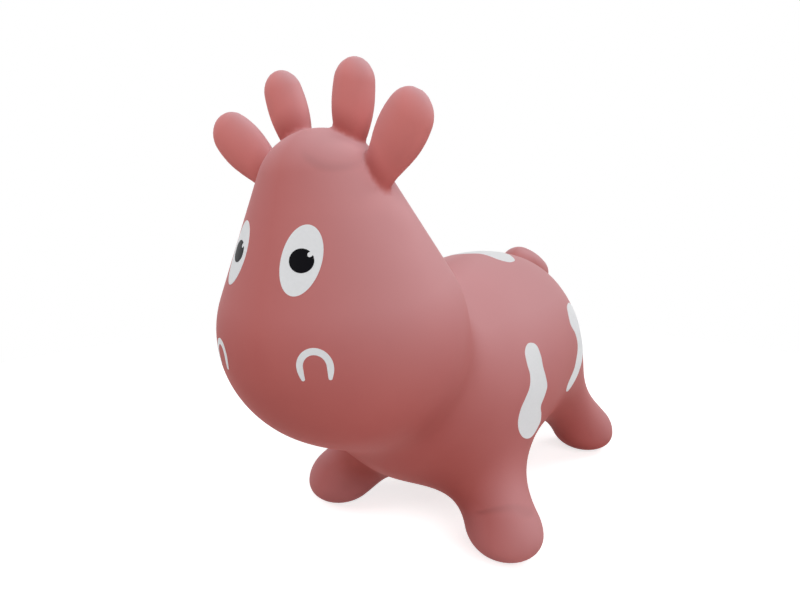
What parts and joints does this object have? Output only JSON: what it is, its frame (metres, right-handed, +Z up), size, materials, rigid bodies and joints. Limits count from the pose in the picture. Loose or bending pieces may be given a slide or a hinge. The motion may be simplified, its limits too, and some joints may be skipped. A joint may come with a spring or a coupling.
{
  "type": "animal hopper",
  "caption": "Inflatable calf in soft rose vinyl for a child to sit on and bounce, with ears and horns to hold, splayed legs, printed eyes and patches, and a stoppered air valve in the belly.",
  "frame": {"origin": "On the floor under the middle of the object's box", "axes": "+Y from the nose to the tail, +X to the calf's left side, +Z up"},
  "size_m": [0.2778, 0.5954, 0.4497],
  "materials": {
    "rose_vinyl": "soft satin vinyl",
    "clear_vinyl": "smooth translucent vinyl",
    "white_plug": "smooth polyethylene",
    "white_ink": "satin printed ink",
    "black_ink": "satin printed ink"
  },
  "bodies": {
    "skin": {"trunk": "rose_vinyl", "head": "rose_vinyl", "front_left_leg": "rose_vinyl", "front_right_leg": "rose_vinyl", "rear_left_leg": "rose_vinyl", "rear_right_leg": "rose_vinyl", "tail": "rose_vinyl", "valve": "clear_vinyl", "left_eye_white": "white_ink", "right_eye_white": "white_ink", "left_pupil": "black_ink", "right_pupil": "black_ink", "left_nostril": "white_ink", "right_nostril": "white_ink", "left_flank_patch": "white_ink", "right_flank_patch": "white_ink", "left_rump_patch": "white_ink", "right_rump_patch": "white_ink", "saddle_patch": "white_ink"},
    "left_ear": {"left_ear": "rose_vinyl"},
    "right_ear": {"right_ear": "rose_vinyl"},
    "left_horn": {"left_horn": "rose_vinyl"},
    "right_horn": {"right_horn": "rose_vinyl"},
    "stopper": {"stopper": "white_plug"}
  },
  "joints": [
    {"name": "left_ear_flex", "type": "hinge", "parent": "skin", "child": "left_ear", "pos_m": [0.06056, -0.22115, 0.36908], "axis": [-0.8103, 0, 0.586], "range_deg": [-25, 25], "stiffness_Nm_per_rad": 1.2},
    {"name": "right_ear_flex", "type": "hinge", "parent": "skin", "child": "right_ear", "pos_m": [-0.06056, -0.22115, 0.36908], "axis": [-0.8103, 0, -0.586], "range_deg": [-25, 25], "stiffness_Nm_per_rad": 1.2},
    {"name": "left_horn_flex", "type": "hinge", "parent": "skin", "child": "left_horn", "pos_m": [0.03028, -0.22045, 0.40477], "axis": [-0.9743, 0, 0.2253], "range_deg": [-25, 25], "stiffness_Nm_per_rad": 1.2},
    {"name": "right_horn_flex", "type": "hinge", "parent": "skin", "child": "right_horn", "pos_m": [-0.03028, -0.22045, 0.40477], "axis": [-0.9743, 0, -0.2253], "range_deg": [-25, 25], "stiffness_Nm_per_rad": 1.2},
    {"name": "stopper_pull", "type": "slide", "parent": "skin", "child": "stopper", "axis": [0, 0, -1], "range_m": [0, 0.03]}
  ]
}
